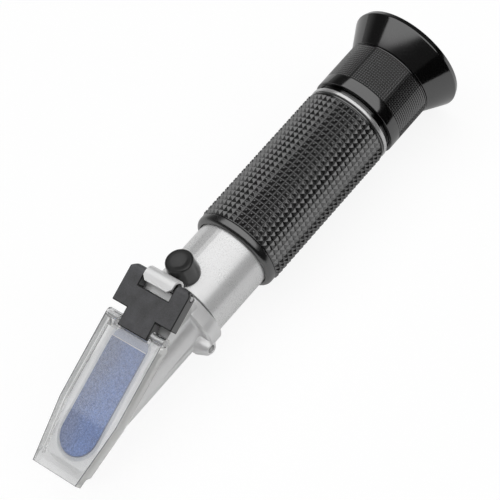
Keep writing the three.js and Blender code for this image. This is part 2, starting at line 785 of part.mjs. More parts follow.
const makeFocusRing = () => {
  const bore = thread_radius + fit_gap;
  const neck_bore = barrel_neck_radius + fit_gap;
  const web_rear_x = web_front_x + focus_web;
  const recess_radius = cup_throat_radius + cup_spigot_wall + fit_gap;
  const solid = turned([
    [focus_front_x, bore], [focus_front_x, focus_radius - focus_edge],
    [focus_front_x + focus_edge, focus_radius], [focus_rear_x, focus_radius],
    [focus_rear_x, recess_radius], [web_rear_x, recess_radius], [web_rear_x, neck_bore],
    [web_front_x, neck_bore], [web_front_x, bore],
  ]);
  return makePiece('focus_ring', solid, finish(0x1d1d1e, 0.3));
};

// A flared cone that runs tangent into a rounded rim, over a parallel inner cone
const makeEyecup = () => {
  const round_x = cup_rear_x - cup_rim_round;
  const round_radius = cup_rim_radius - cup_rim_round;
  const run = round_x - cup_front_x;
  const rise = round_radius - focus_radius;
  const cone_angle = Math.atan2(rise, run) + Math.asin(cup_rim_round / Math.hypot(run, rise));
  const spigot_front_x = cup_front_x - cup_spigot_length;
  const spigot_radius_outer = cup_throat_radius + cup_spigot_wall;
  const profile = [
    [spigot_front_x, cup_throat_radius], [spigot_front_x, spigot_radius_outer],
    [cup_front_x, spigot_radius_outer], [cup_front_x, focus_radius],
  ];
  for (let i = 0; i <= arc_facets; i += 1) {
    const angle = (Math.PI / 2 + cone_angle) * (1 - i / arc_facets);
    profile.push([
      round_x + cup_rim_round * Math.cos(angle), round_radius + cup_rim_round * Math.sin(angle),
    ]);
  }
  const rim_inner_radius = round_radius - cup_rim_face;
  const throat_x = cup_front_x + cup_throat_length;
  const inner_rise = cup_wall / Math.cos(cone_angle);
  const bowl_radius = focus_radius + cup_throat_length * Math.tan(cone_angle) - inner_rise;
  profile.push([cup_rear_x, rim_inner_radius], [throat_x, bowl_radius], [throat_x, cup_throat_radius]);
  return makePiece('eyecup', turned(profile), finish(0x1a1a1b, 0.2));
};

// A strip seen from the side, round at its rear about the hinge pin. The tongue's tip is round
// below the plate's pin and square above it, where the tilted plate's rear edge stops.
const makeHingeBlock = () => {
  const side = new THREE.Shape();
  side.absarc(0, 0, block_top, -Math.PI / 2, Math.PI / 2);
  side.lineTo(-tongue_length - block_top, block_top);
  side.absarc(-tongue_length, 0, block_top, Math.PI, Math.PI * 1.5);
  const rear = block_top + overrun;
  const half = block_width / 2;
  const plan = outline([
    [rear, 0], [rear, -half + block_corner + overrun], [-block_corner + block_top, -half],
    [-wing_length, -half], [-wing_length, -tongue_width / 2],
    [-tongue_length - rear, -tongue_width / 2], [-tongue_length - rear, tongue_width / 2],
    [-wing_length, tongue_width / 2], [-wing_length, half],
    [-block_corner + block_top, half], [rear, half - block_corner - overrun],
  ]);
  const notch = box(
    -notch_depth, rear, -notch_width / 2, notch_width / 2, -rear, rear,
  );
  const bores = [0, -tongue_length].map((x) => turned(rodProfile(
    -block_width, block_width, lid_pin_radius + fit_gap,
  ), pin_facets, 'y').translate([x, 0, 0]));
  const strip = across(side, block_width).intersect(upright(plan, -rear, rear));
  return makePiece('hinge_block', cut(strip, notch, ...bores), finish(0x36373a, 0.55));
};

const makeLidPin = (name, x, length) => {
  const solid = turned(rodProfile(-length / 2, length / 2, lid_pin_radius), pin_facets, 'y');
  const pin = makePiece(name, solid, finish(0xc4c4c2, 0.25, 1));
  pin.position.x = x;
  return pin;
};

const makeHingeLeaf = () => {
  const top = block_top + leaf_top_gap;
  const bend_z = (top + leaf_foot_top) / 2;
  const bend_inner = (top - leaf_foot_top) / 2;
  const bend_outer = bend_inner + leaf_sheet;
  const shape = new THREE.Shape();
  shape.moveTo(-leaf_foot_reach, leaf_foot_bottom);
  shape.absarc(leaf_bend_setback, bend_z, bend_outer, -Math.PI / 2, Math.PI / 2);
  shape.lineTo(-leaf_top_reach, top + leaf_sheet);
  shape.lineTo(-leaf_top_reach, top);
  shape.absarc(leaf_bend_setback, bend_z, bend_inner, Math.PI / 2, -Math.PI / 2, true);
  shape.lineTo(-leaf_foot_reach, leaf_foot_top);
  const half = leaf_width / 2;
  const rear = leaf_bend_setback + bend_outer + overrun;
  const plan = outline([
    [rear, -half], [rear, half], [leaf_corner - leaf_top_reach, half],
    [-leaf_top_reach, half - leaf_corner], [-leaf_top_reach, leaf_corner - half],
    [leaf_corner - leaf_top_reach, -half],
  ]);
  const top_trim = upright(plan, 0, block_thickness);
  const foot_room = box(-leaf_foot_reach - overrun, rear, -half, half, -2 * block_thickness, 0);
  const rivet_holes = [-1, 1].map((side) => turned(rodProfile(
    saddle_floor, 0, rivet_radius + fit_gap,
  ), pin_facets, 'z').translate([-rivet_reach, side * rivet_spacing / 2, 0]));
  const sheet = across(shape, leaf_width).intersect(join(top_trim, foot_room));
  return makePiece('hinge_leaf', cut(sheet, ...rivet_holes), finish(0xcfcfcd, 0.3, 0.95));
};

const makeHingeBush = () => {
  const solid = turned(ringProfile(
    -leaf_width / 2, leaf_width / 2, lid_pin_radius + fit_gap, block_top - fit_gap + leaf_top_gap,
  ), pin_facets, 'y');
  return makePiece('hinge_bush', solid, finish(0x1f1f20, 0.5));
};

const makeRivet = (name, side) => {
  const solid = turned(
    rodProfile(saddle_floor - rivet_depth, leaf_foot_top, rivet_radius), pin_facets, 'z',
  );
  const rivet = makePiece(name, solid, finish(0x9b9c9a, 0.35, 0.9));
  rivet.position.set(-rivet_reach, side * rivet_spacing / 2, 0);
  return rivet;
};

// The clear plate with a skirt down each side and two ears round the pin in the tongue
const makeDaylightPlate = () => {
  const slab = upright(plateShape(0, plate_rear), plate_bottom, block_top);
  const ear = new THREE.Shape();
  ear.absarc(-tongue_length, 0, block_top, -Math.PI / 2, Math.PI / 2);
  ear.lineTo(-plate_rear - skirt_thickness, block_top);
  ear.lineTo(-plate_rear - skirt_thickness, -block_top);
  const ear_gap = plate_width - 2 * ear_width;
  const ears = across(ear, plate_width).subtract(box(
    -plate_rear, 0, -ear_gap / 2, ear_gap / 2, -block_thickness, block_thickness,
  ));
  const skirt_bottom = block_top - skirt_depth;
  const skirt_side = outline([
    [-skirt_rear, block_top], [-skirt_rear, -block_top], [-skirt_rear - skirt_bevel, skirt_bottom],
    [-skirt_front, skirt_bottom], [-skirt_front - skirt_bevel, plate_bottom],
    [-skirt_front - skirt_bevel, block_top],
  ]);
  const skirts = across(skirt_side, plate_width)
    .intersect(upright(plateShape(0, 0), skirt_bottom - overrun, block_top))
    .subtract(upright(plateShape(skirt_thickness, 0), skirt_bottom - overrun, plate_bottom));
  const bore = turned(rodProfile(
    -plate_width, plate_width, lid_pin_radius + fit_gap,
  ), pin_facets, 'y').translate([-tongue_length, 0, 0]);
  const middle = box(
    -plate_rear, 0, -ear_gap / 2, ear_gap / 2, -block_thickness, block_thickness,
  );
  const ear_clear = box(
    -plate_rear - skirt_thickness - overrun, 0,
    ear_width - plate_width / 2, plate_width / 2 - ear_width, -block_thickness, plate_bottom,
  );
  const solid = cut(join(slab, cut(ears, ear_clear), cut(skirts, middle)), bore);
  return makePiece('daylight_plate', solid, finish(0xe6ebe9, 0.05));
};

const makeDiffuser = () => {
  const shape = windowShape(-diffuser_inset);
  const top = plate_bottom - bond_gap;
  const sheet = upright(shape, top - diffuser_thickness, top);
  const rear_part = box(-diffuser_rear, 0, -plate_width, plate_width, -block_thickness, 0);
  return makePiece('frosted_diffuser', sheet.subtract(rear_part), finish(0x8f9bc4, 0.8));
};

const lid = new THREE.Group();
lid.position.set(hinge_x, 0, hinge_z);
lid.rotation.y = -prism_slope;
lid.add(
  makeHingeLeaf(),
  makeHingeBush(),
  makeRivet('leaf_rivet_left', 1),
  makeRivet('leaf_rivet_right', -1),
  makeLidPin('hinge_pin', 0, block_width),
  makeHingeBlock(),
  makeLidPin('plate_pin', -tongue_length, plate_width - 2 * plate_pin_margin),
  makeDaylightPlate(),
  makeDiffuser(),
);

const refractometer = new THREE.Group();
refractometer.add(
  makeHousing(),
  makePrism(),
  makePrismSeal(),
  makeSideScrew('side_screw_left', 1),
  makeSideScrew('side_screw_right', -1),
  makeMainTube(),
  makeGrip(),
  makeTrimRing(),
  makeCalibrationBush(),
  makeCalibrationScrew(),
  makeCalibrationCap(),
  makeLensCell(),
  makeObjectiveLens(),
  makeLockRing(
    'objective_lock_ring', objective_front_x + objective_thickness + fit_gap,
    cell_bore_radius - fit_gap,
  ),
  makeCellSpring(),
  makeBimetalStrip(),
  makeBaffle(),
  makeReticleHolder(),
  makeReticleDisc(),
  makeLockRing(
    'reticle_lock_ring', disc_front_x + reticle_thickness + fit_gap, disc_radius,
  ),
  makeThreadSleeve(),
  makeFocusBarrel(),
  makeKeyScrew(),
  makeOilRing(),
  makeLens(
    'field_lens', field_lens_x, barrel_lens_radius, field_lens_thickness, field_lens_edge,
  ),
  makeLensSpacer(),
  makeLens('eye_lens', eye_lens_x, barrel_lens_radius, eye_lens_thickness, eye_lens_edge),
  makeLockRing('eye_lens_lock_ring', eye_ring_x, barrel_lens_radius),
  makeFocusRing(),
  makeEyecup(),
  lid,
);

// The origin is below the middle of the object, at the level of the eyecup's lowest point
const front_tip_x = slopePoint(plate_front, block_top)[0];
refractometer.position.set(-(front_tip_x + cup_rear_x) / 2, 0, cup_rim_radius);

export default refractometer;
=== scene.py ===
import json
import math

import bmesh
import bpy
from mathutils import Matrix, Vector


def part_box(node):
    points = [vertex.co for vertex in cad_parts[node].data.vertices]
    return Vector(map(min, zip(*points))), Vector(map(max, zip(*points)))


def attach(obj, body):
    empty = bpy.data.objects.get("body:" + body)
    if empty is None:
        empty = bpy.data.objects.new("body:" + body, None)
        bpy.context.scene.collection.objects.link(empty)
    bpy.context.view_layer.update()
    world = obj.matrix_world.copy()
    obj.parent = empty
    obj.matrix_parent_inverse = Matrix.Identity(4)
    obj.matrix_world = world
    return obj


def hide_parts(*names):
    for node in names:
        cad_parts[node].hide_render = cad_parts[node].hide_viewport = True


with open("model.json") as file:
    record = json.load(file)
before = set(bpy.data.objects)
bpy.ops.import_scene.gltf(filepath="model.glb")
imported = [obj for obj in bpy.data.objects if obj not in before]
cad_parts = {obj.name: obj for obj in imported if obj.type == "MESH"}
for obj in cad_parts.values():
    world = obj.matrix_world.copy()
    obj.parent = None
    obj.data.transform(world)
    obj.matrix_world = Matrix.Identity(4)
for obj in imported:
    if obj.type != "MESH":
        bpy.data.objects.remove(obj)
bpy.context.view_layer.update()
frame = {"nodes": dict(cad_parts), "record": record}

# A wine refractometer, in metres, lying along X with its prism end towards -X.
# Most sizes come from the frame. These are the finer ones.
MICRON = 1e-6
WELD = 2 * MICRON
FLAT_ANGLE = math.radians(0.6)
SHARP_ANGLE = math.radians(32)
EASED_ANGLE = math.radians(35)
FACING_SHARE = 0.5
ROUND_FACETS = 144
SMALL_FACETS = 48
EASE_STEPS = 3
CRISP_EASE = 0.0001

HOUSING_EASE = 0.00022
TUBE_EASE = 0.00015
LEAF_EASE = 0.00012
SCREW_EASE = 0.00008

COLLAR_LENGTH = 0.0052
COLLAR_CHAMFER = 0.0006
COLLAR_REAR_EASE = 0.0003
EAR_START = math.radians(35)
EAR_SWEEP = math.radians(130)
EAR_RADIUS = 0.0091
EAR_OFFSET = 0.0048
EAR_DROP = 0.001
EAR_ROOT = 0.0012
EAR_FACETS = 60

GRIP_COLUMNS = 46
GRIP_ROWS = 26
GRIP_KNURL_DEPTH = 0.00072
GRIP_KNURL_TOP_SHARE = 0.16
GRIP_KNURL_MARGIN = 0.0002
GRIP_STUD_SINK = 0.00004
GRIP_FLANGE_LENGTH = 0.0031
GRIP_FLANGE_DROP = 0.00038
GRIP_FLANGE_EASE = 0.0016
GRIP_FLANGE_REAR_EASE = 0.0006
GRIP_WALL = 0.00208
GRIP_BAND_LENGTH = 0.0006
GRIP_BAND_STEP = 0.0003
GRIP_REAR_EASE = 0.0002

TRIM_WALL = 0.00188
TRIM_EASE = 0.00035

FOCUS_COLUMNS = 112
FOCUS_ROWS = 17
FOCUS_KNURL_DEPTH = 0.0003
FOCUS_KNURL_TOP_SHARE = 0.42
FOCUS_KNURL_MARGIN = 0.00008
FOCUS_STUD_SINK = 0.00003
FOCUS_WALL = 0.0012
FOCUS_BAND_LENGTH = 0.0040
FOCUS_REAR_LAND = 0.0004
FOCUS_FRONT_EASE = 0.0003
FOCUS_LAND_EASE = 0.00008
FOCUS_REAR_EASE = 0.00012
FOCUS_WEB_PLACE = 0.0128
FOCUS_WEB_LENGTH = 0.003
FOCUS_RECESS_RADIUS = 0.0120
FOCUS_NECK_RADIUS = 0.0099

CUP_SEAM = 0.0003
CUP_WALL = 0.0015
CUP_THROAT_WALL = 0.0045
CUP_THROAT_LENGTH = 0.0016
CUP_RIM_LENGTH = 0.0019
CUP_RIM_DROP = 0.0007
CUP_RIM_HOLLOW = 0.0003
CUP_SEAM_EASE = 0.0002
CUP_CREST_EASE = 0.0007
CUP_LIP_EASE = 0.0004
CUP_BOWL_EASE = 0.0006
CUP_FLOOR_EASE = 0.0008
CUP_THROAT_EASE = 0.0003
CUP_STEPS = 8

SLEEVE_WALL = 0.00065
THREAD_PITCH = 0.0008
THREAD_DEPTH = 0.0002
THREAD_LEAD = 0.0002
THREAD_CREST_END_SHARE = 0.4
THREAD_ROOT_START_SHARE = 0.6
THREAD_ROOT_END_SHARE = 0.9

CAP_TAPER = 0.00075
CAP_FOOT_GAP = 0.0003
CAP_FOOT_HEIGHT = 0.0006
CAP_FOOT_EASE = 0.0005
CAP_SHOULDER_DROP = 0.0020
CAP_SHOULDER_STEP = 0.0002
CAP_SHOULDER_EASE = 0.003
CAP_LIP_STEP = 0.00002
CAP_LIP_EASE = 0.0008
CAP_DISH_SHARE = 0.55
CAP_DISH_DEPTH = 0.00022
CAP_DISH_EASE = 0.002
CAP_DISH_MIDDLE = 0.00026
CAP_HOLLOW_RADIUS = 0.0035
CAP_ROOF = 0.0020
CAP_STEPS = 7

PLATE_RIM_EASE = 0.0005
PLATE_RIM_SHARE = 0.3
BLOCK_EASE = 0.0003
BLOCK_STEPS = 4
PIN_RIM_REACH = 0.0014
SEAL_OVERLAP = 0.00025

# Sizes and places of the patterns in the finishes
BLASTED_GRAIN = 0.00012
TUBE_GRAIN = 0.0002
TURNED_GRAIN = 0.00008
ROLLED_GRAIN = 0.0001
METAL_CLOUD = 0.012
POLISH_SMEAR = 0.003
RUBBER_SKIN = 0.0002
RUBBER_WEAR = 0.009
CAP_WEAR = 0.004
CAP_SHINE_DEPTH = 0.0004
CAP_MATT_DEPTH = 0.0001
GLOSS_DUST = 0.00025
GLOSS_WAVE = 0.006
MOULD_PITS = 0.0003
MOULD_CLOUD = 0.004
GLASS_SMEAR = 0.004
SHEET_SPECKLE = 0.0006
SHEET_CLOUD = 0.010
SHEET_GREY_LENGTH = 0.03
SHEET_GREY_START = -0.003
SHEET_GREY_FULL = 0.006
SHEET_CUT_START = 0.0004
SHEET_CUT_FULL = 0.0003
RESIN_LUMPS = 0.0006
PAPER_FIBRE = 0.0015
CARD_FIBRE = 0.002

# The camera, as fitted to the photo's outlines
CAMERA_AZIMUTH = math.radians(-33.74)
CAMERA_ELEVATION = math.radians(50.72)
CAMERA_ROLL = math.radians(-21.05)
CAMERA_DISTANCE = 0.71787
CAMERA_LENS = 180.75
CAMERA_SENSOR = 36
CAMERA_NEAR = 0.01
CAMERA_TARGET = Vector((-0.01004, -0.02248, 0.04679))

# The studio: a white sheet underneath, one wide soft light overhead and dark surroundings.
# The light's limits are slopes, metres along X or Y for each metre up. Heights, and how far left
# the room pales, are parts of a direction of length 1.
FLOOR_REACH = 3
PAPER_GLOW = 1.11
PAPER_SEEN_SHARE = 0.8
PAPER_MIRRORED_SHARE = 0.3
LIGHT_FRONT_SLOPE = -0.60
LIGHT_REAR_SLOPE = 1.05
LIGHT_LEFT_SLOPE = 0.9
LIGHT_RIGHT_SLOPE = -2.3
LIGHT_EDGE_SLOPE = 0.025
LIGHT_LEVEL = 1.32
DARK_LEVEL = 0.05
HORIZON_LEVEL = 0.30
HORIZON_EDGE = 0.02
LEAST_HEIGHT = 0.001
PALE_HEIGHT = 0.4
PALE_LEFT = 0.8
WHITE_HEIGHT = 0.1
WHITE_END_HEIGHT = 0.4
CARD_DISTANCE = 0.08
CARD_HEIGHT = 0.05
CARD_REACH = 0.4

AXIS_Z = sum(corner.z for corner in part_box("main_tube")) / 2
ALONG_TUBE = Matrix.Translation((0, 0, AXIS_Z)) @ Matrix.Rotation(math.pi / 2, 4, "Y")


class Signal:
    """One output of a shader node, with maths that adds the nodes it needs."""

    def __init__(self, shading, socket):
        self.shading = shading
        self.socket = socket

    def maths(self, operation, *values):
        inputs = dict(enumerate(values))
        return self.shading.add("ShaderNodeMath", {"operation": operation}, inputs)

    def __add__(self, other):
        return self.maths("ADD", self, other)

    def __sub__(self, other):
        return self.maths("SUBTRACT", self, other)

    def __mul__(self, other):
        return self.maths("MULTIPLY", self, other)

    def __truediv__(self, other):
        return self.maths("DIVIDE", self, other)

    def __rsub__(self, other):
        return self.maths("SUBTRACT", other, self)

    def __rtruediv__(self, other):
        return self.maths("DIVIDE", other, self)

    __radd__ = __add__
    __rmul__ = __mul__

    def clamped(self):
        return self.maths("MINIMUM", self.maths("MAXIMUM", self, 0), 1)

    def rising(self, start, end):
        settings = {"interpolation_type": "SMOOTHSTEP", "clamp": True}
        return self.shading.add("ShaderNodeMapRange", settings, {0: self, 1: start, 2: end})


class Shading:
    """A node tree, filled through one method."""

    def __init__(self, tree):
        self.tree = tree
        tree.nodes.clear()

    def place(self, kind="Object"):
        return self.add("ShaderNodeTexCoord", output=kind)

    def along(self, axis, vector=None):
        source = vector or self.place()
        return self.add("ShaderNodeSeparateXYZ", inputs={0: source}, output=axis)

    def noise(self, size, detail=2, roughness=0.5):
        inputs = {"Vector": self.place(), "Scale": 1 / size, "Detail": detail}
        inputs["Roughness"] = roughness
        return self.add("ShaderNodeTexNoise", inputs=inputs)

    def colours(self, share, first, second):
        settings = {"data_type": "RGBA"}
        return self.add("ShaderNodeMix", settings, {0: share, 6: first, 7: second}, output=2)

    def bump(self, height, depth, strength):
        inputs = {"Height": height, "Distance": depth, "Strength": strength}
        return self.add("ShaderNodeBump", inputs=inputs)

    def output(self, kind, shader):
        self.add(kind, inputs={"Surface": shader})

    def add(self, kind, settings=None, inputs=None, output=0):
        node = self.tree.nodes.new(kind)
        for key, value in (settings or {}).items():
            setattr(node, key, value)
        for key, value in (inputs or {}).items():
            if isinstance(value, Signal):
                self.tree.links.new(value.socket, node.inputs[key])
            else:
                node.inputs[key].default_value = value
        return Signal(self, node.outputs[output]) if len(node.outputs) else None


def new_material(name):
    material = bpy.data.materials.new(name)
    material.use_nodes = True
    return material, Shading(material.node_tree)


def finish(name, surface):
    """A material whose surface(shading) returns the inputs of its Principled shader."""
    material, shading = new_material(name)
    shader = shading.add("ShaderNodeBsdfPrincipled", inputs=surface(shading))
    shading.output("ShaderNodeOutputMaterial", shader)
    return material


def grey(level):
    return (level, level, level, 1)


def dimmed(colour, share):
    return [share * part for part in colour[:3]] + [1]


def satin_metal(name, light, dark, roughness, shine, grain_size, tint=1.0):
    """Blasted or turned metal: a fine grain over slow changes of tone."""

    def surface(s):
        grain = s.noise(grain_size, 3, roughness=0.6)
        cloud = s.noise(METAL_CLOUD, 2)
        share = (cloud * 0.5 + (grain - 0.5) * 2.0 + 0.25).clamped()
        return {
            "Base Color": s.colours(
                share, (dark, dark, dark * tint, 1), (light, light, light * tint, 1)
            ),
            "Metallic": shine,
            "Roughness": roughness + (grain - 0.5) * 0.10 + (cloud - 0.5) * 0.05,
            "Normal": s.bump(grain, 6 * MICRON, 0.5),
        }

    return finish(name, surface)


def polished_metal(name, colour, roughness, shine=1.0):
    """Polished metal, slightly smeared."""

    def surface(s):
        smear = s.noise(POLISH_SMEAR, 3)
        return {
            "Base Color": s.colours(smear, colour, dimmed(colour, 0.92)),
            "Metallic": shine,
            "Roughness": roughness + smear * 0.08,
        }

    return finish(name, surface)


def moulded_rubber(name, level, roughness, ior=1.5):
    """Rubber with a fine skin, slightly paler and drier where it has been handled."""

    def surface(s):
        skin = s.noise(RUBBER_SKIN, 4, roughness=0.65)
        wear = s.noise(RUBBER_WEAR, 3)
        return {
            "Base Color": s.colours(wear, grey(level), grey(level * 1.7)),
            "Roughness": roughness + (skin - 0.5) * 0.14 + (wear - 0.5) * 0.12,
            "IOR": ior,
            "Normal": s.bump(skin, 12 * MICRON, 0.5),
        }

    return finish(name, surface)


def cap_rubber(name):
    """Rubber with a polished side and a dry top."""
    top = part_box("calibration_cap")[1].z

    def surface(s):
        skin = s.noise(RUBBER_SKIN, 4, roughness=0.65)
        side = 1 - s.along("Z").rising(top - CAP_SHINE_DEPTH, top - CAP_MATT_DEPTH)
        wear = s.noise(CAP_WEAR, 3)
        return {
            "Base Color": s.colours(wear, grey(0.004), grey(0.014)),
            "Roughness": 0.42 + (skin - 0.5) * 0.14,
            "IOR": 1.4,
            "Coat Weight": side,
            "Coat IOR": 1.6,
            "Coat Roughness": 0.1,
            "Normal": s.bump(skin, 12 * MICRON, 0.5),
        }

    return finish(name, surface)


def black_gloss(name, level, roughness, ior):
    """Black, smooth and glossy, with faint dust and a hint of unevenness."""

    def surface(s):
        dust = s.noise(GLOSS_DUST, 4, roughness=0.7).rising(0.62, 0.75)
        wave = s.noise(GLOSS_WAVE, 2)
        return {
            "Base Color": s.colours(dust, grey(level), grey(level * 4)),
            "Roughness": roughness + wave * 0.05 + dust * 0.2,
            "IOR": ior,
            "Normal": s.bump(wave, 8 * MICRON, 0.4),
        }

    return finish(name, surface)


def matte_moulding(name, level, roughness):
    """Dark moulded plastic with a fine spark-eroded texture, and painted light that makes its
    upright sides paler.
    """

    def surface(s):
        pits = s.noise(MOULD_PITS, 4, roughness=0.75)
        cloud = s.noise(MOULD_CLOUD, 3)
        share = ((cloud - 0.5) * 1.4 + (pits - 0.5) * 2.2 + 0.5).clamped()
        pale = (level * 1.5, level * 1.5, level * 1.62, 1)
        # Painted light: faces that look along Y get a paler colour, for the light that falls on the
        # block's sides.
        across = s.along("Y", s.place("Normal"))
        side = across.maths("ABSOLUTE", across).rising(0.5, 0.9)
        face = s.colours(share, grey(level * 0.72), pale)
        return {
            "Base Color": s.colours(side, face, grey(level * 2.2)),
            "Roughness": roughness + (pits - 0.5) * 0.2,
            "Normal": s.bump(pits, 16 * MICRON, 0.6),
        }

    return finish(name, surface)


def clear_glass(name, tint, ior, haze=0.0, milk=0.0):
    """Glass or acrylic. Its milky share scatters light, and the rest lets lamplight through."""
    material, s = new_material(name)
    smear = s.noise(GLASS_SMEAR, 3)
    clear = s.add(
        "ShaderNodeBsdfPrincipled",
        inputs={
            "Base Color": s.colours(smear, tint, dimmed(tint, 0.97)),
            "Roughness": haze + smear * 0.03,
            "IOR": ior,
            "Transmission Weight": 1 - milk,
            "Coat Weight": 1.0,
            "Coat IOR": ior,
            "Coat Roughness": haze + 0.1,
            "Normal": s.bump(smear, 3 * MICRON, 0.2),
        },
    )
    open_tint = [math.sqrt(part) for part in tint[:3]] + [1]
    open_way = s.add("ShaderNodeBsdfTransparent", inputs={"Color": open_tint})
    shadow = s.add("ShaderNodeLightPath", output="Is Shadow Ray")
    mixed = s.add("ShaderNodeMixShader", inputs={0: shadow * (1 - milk), 1: clear, 2: open_way})
    s.output("ShaderNodeOutputMaterial", mixed)
    return material


def frosted_blue(name):
    """The frosted sheet with the prism's blue behind it: speckled, greyer at the rear and left."""
    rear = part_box("frosted_diffuser")[1].x

    def surface(s):
        speckle = s.noise(SHEET_SPECKLE, 3, roughness=0.8)
        cloud = s.noise(SHEET_CLOUD, 2)
        grey_rear = s.along("X").rising(rear - SHEET_GREY_LENGTH, rear)
        grey_left = s.along("Y").rising(SHEET_GREY_START, SHEET_GREY_FULL)
        grain = ((speckle - 0.5) * 3.2 + 0.5).clamped()
        blue = s.colours(grain, (0.04, 0.12, 0.40, 1), (0.22, 0.37, 0.80, 1))
        lilac = s.colours(grain, (0.055, 0.08, 0.18, 1), (0.26, 0.31, 0.50, 1))
        share = (grey_rear * 0.35 + grey_left * 0.55 + (cloud - 0.5) * 0.8).clamped()
        cut_edge = s.along("X").rising(rear - SHEET_CUT_START, rear - SHEET_CUT_FULL)
        return {
            "Base Color": s.colours(cut_edge, s.colours(share, blue, lilac), grey(0.9)),
            "Roughness": 0.55 + (speckle - 0.5) * 0.3,
            "Normal": s.bump(speckle, 20 * MICRON, 0.5),
        }

    return finish(name, surface)


def sealing_resin(name):
    """Pale, slightly lumpy resin."""

    def surface(s):
        lumps = s.noise(RESIN_LUMPS, 3)
        return {
            "Base Color": s.colours(lumps, (0.76, 0.78, 0.81, 1), (0.84, 0.85, 0.87, 1)),
            "Roughness": 0.35 + lumps * 0.2,
            "Normal": s.bump(lumps, 20 * MICRON, 0.5),
        }

    return finish(name, surface)


FINISHES = {
    "satin_metal": satin_metal("blasted_aluminium", 0.92, 0.87, 0.34, 0.35, BLASTED_GRAIN),
    "tube_metal": satin_metal("satin_aluminium", 0.86, 0.82, 0.28, 0.35, TUBE_GRAIN),
    "prism_glass": clear_glass("prism_glass", (0.40, 0.46, 0.66, 1), 1.62, 0.1, 0.7),
    "seal_resin": sealing_resin("sealing_resin"),
    "screw_steel": satin_metal("turned_steel", 0.62, 0.52, 0.28, 0.8, TURNED_GRAIN),
    "grip_rubber": moulded_rubber("grip_rubber", 0.006, 0.24, 2.2),
    "bright_trim": polished_metal("bright_chrome", (0.68, 0.68, 0.68, 1), 0.2, 0.6),
    "brass": polished_metal("turned_brass", (0.78, 0.58, 0.25, 1), 0.22),
    "cap_rubber": cap_rubber("cap_rubber"),
    "black_metal": satin_metal("blackened_metal", 0.05, 0.03, 0.45, 0.6, BLASTED_GRAIN),
    "lens_glass": clear_glass("lens_glass", (0.96, 0.98, 0.98, 1), 1.52),
    "spring_steel": satin_metal("spring_steel", 0.66, 0.58, 0.25, 1.0, ROLLED_GRAIN),
    "bimetal": satin_metal("bimetal", 0.58, 0.50, 0.35, 1.0, ROLLED_GRAIN, 0.55),
    "black_plastic": black_gloss("black_gloss", 0.003, 0.09, 2.0),
    "block_plastic": matte_moulding("block_plastic", 0.075, 0.42),
    "clear_acrylic": clear_glass("clear_acrylic", (0.94, 0.945, 0.95, 1), 1.49),
    "frosted_sheet": frosted_blue("frosted_sheet"),
    "seal_rubber": moulded_rubber("greased_rubber", 0.01, 0.25),
}
PLATE_SIDE = clear_glass("acrylic_side", (0.96, 0.96, 0.94, 1), 1.49, 0.1, 0.55)
# Painted shade: the plate's eased top edge gets this dark grey, mostly milky finish for the dark
# line along a clear edge.
PLATE_SHADED_EDGE = clear_glass("acrylic_shaded_edge", (0.30, 0.30, 0.31, 1), 1.49, 0.15, 0.8)
# Painted shade: the hinge block's eased edges get this near-black glossy finish for the dark band
# along its rounded edges.
BLOCK_SHADED_EDGE = black_gloss("shaded_glossy_edge", 0.008, 0.3, 1.4)
NODE_SLOTS = {part["node"]: part["material_slot"] for part in frame["record"]["subparts"]}
NODE_BODIES = {
    node: body
    for body, nodes in frame["record"]["behaviour"]["bodies"].items()
    for node in nodes
}


def smooth(mesh):
    mesh.polygons.foreach_set("use_smooth", [True] * len(mesh.polygons))
    mesh.set_sharp_from_angle(angle=SHARP_ANGLE)


def add_piece(name, bm, node):
    """Turns bm into a piece that rides where the CAD node rides and stands for it."""
    bmesh.ops.recalc_face_normals(bm, faces=bm.faces)
    mesh = bpy.data.meshes.new(name)
    bm.to_mesh(mesh)
    bm.free()
    smooth(mesh)
    piece = bpy.data.objects.new(name, mesh)
    bpy.context.scene.collection.objects.link(piece)
    slot = NODE_SLOTS[node]
    mesh.materials.append(FINISHES[slot])
    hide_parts(node)
    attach(piece, NODE_BODIES[node])
    return piece


def dress_node(node):
    """A carried-over CAD node keeps its shape and gets its finish and smooth shading."""
    mesh = frame["nodes"][node].data
    mesh.materials.clear()
    mesh.materials.append(FINISHES[NODE_SLOTS[node]])
    smooth(mesh)


def eased(points, steps=5):
    """A profile of (station, radius, ease) points with each eased corner turned into an arc."""
    profile = []
    for i, (station, radius, *ease) in enumerate(points):
        here = Vector((station, radius))
        if not ease:
            profile.append(here)
            continue
        back = (Vector(points[i - 1][:2]) - here).normalized()
        on = (Vector(points[(i + 1) % len(points)][:2]) - here).normalized()
        half_angle = back.angle(on) / 2
        bend = ease[0]
        centre = here + (back + on).normalized() * bend / math.sin(half_angle)
        reach = bend / math.tan(half_angle)
        start = (here + back * reach - centre).normalized()
        end = (here + on * reach - centre).normalized()
        profile += [centre + bend * start.slerp(end, step / steps) for step in range(steps + 1)]
    return profile


def skin(bm, rings):
    """Faces from each ring to the next, and back to the first. A ring of one point is a pole."""
    pairs = list(zip(rings, rings[1:]))
    if len(rings[0]) > 1:
        pairs.append((rings[-1], rings[0]))
    facets = max(len(ring) for ring in rings)
    for first, second in pairs:
        for i in range(facets):
            j = (i + 1) % facets
            corners = [first[i % len(first)], first[j % len(first)]]
            corners += [second[j % len(second)], second[i % len(second)]]
            bm.faces.new(list(dict.fromkeys(corners)))


def spin(bm, profile):
    """A closed profile of (station, radius) points, spun round the tube's axis."""
    rings = []
    for station, radius in profile:
        ring = []
        for i in range(ROUND_FACETS):
            angle = math.tau * i / ROUND_FACETS
            point = Vector((radius * math.cos(angle), radius * math.sin(angle), station))
            ring.append(bm.verts.new(ALONG_TUBE @ point))
        rings.append(ring)
    skin(bm, rings)


